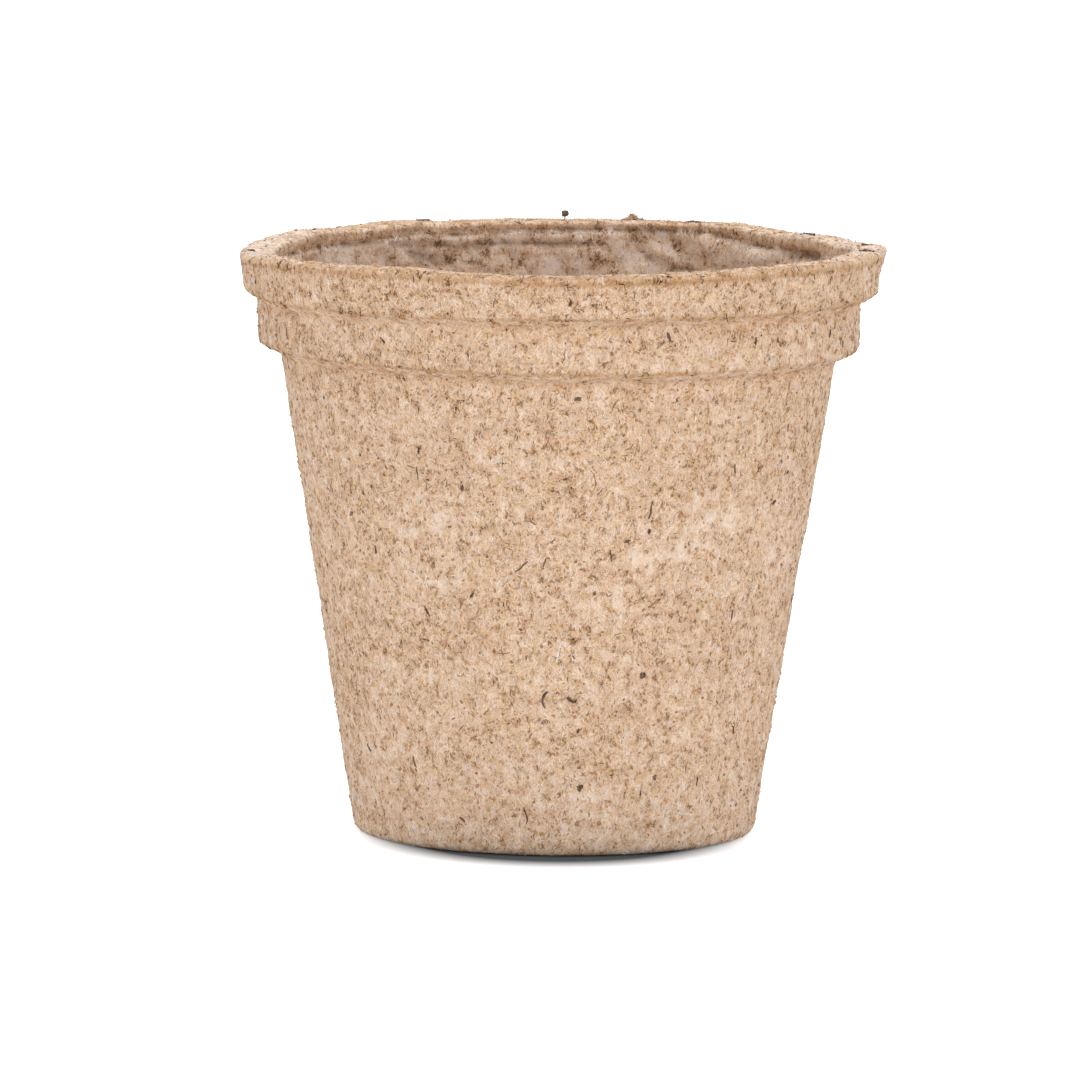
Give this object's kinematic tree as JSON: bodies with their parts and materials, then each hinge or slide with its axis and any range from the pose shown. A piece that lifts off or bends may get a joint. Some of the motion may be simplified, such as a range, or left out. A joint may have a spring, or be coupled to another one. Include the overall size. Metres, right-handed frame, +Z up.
{
  "type": "peat pot",
  "caption": "Round tapered plant pot moulded from peat and wood fibre, with a flat lip, two stepped collars, a standing ring and a drain hole, and with bark caught in its wall.",
  "frame": {"origin": "centre of the base, on the surface that the pot stands on", "axes": "+Z up along the pot's axis, from the base to the lip; the side that the picture shows faces -Y, and +X is its right"},
  "size_m": [0.08, 0.08, 0.0737],
  "materials": {
    "moulded_fibre": "matte",
    "bark": "matte",
    "straw": "matte",
    "pale_wood": "matte",
    "fibre_tuft": "matte"
  },
  "bodies": {
    "root": {"pot_shell": "moulded_fibre", "body_bark_chips": "bark", "body_straws": "straw", "curled_stalk": "bark", "collar_bark_chips": "bark", "rim_bark_slivers": "bark", "rim_pale_sliver": "pale_wood", "rim_crumb": "bark", "rim_fibre_tuft": "fibre_tuft"}
  },
  "joints": []
}
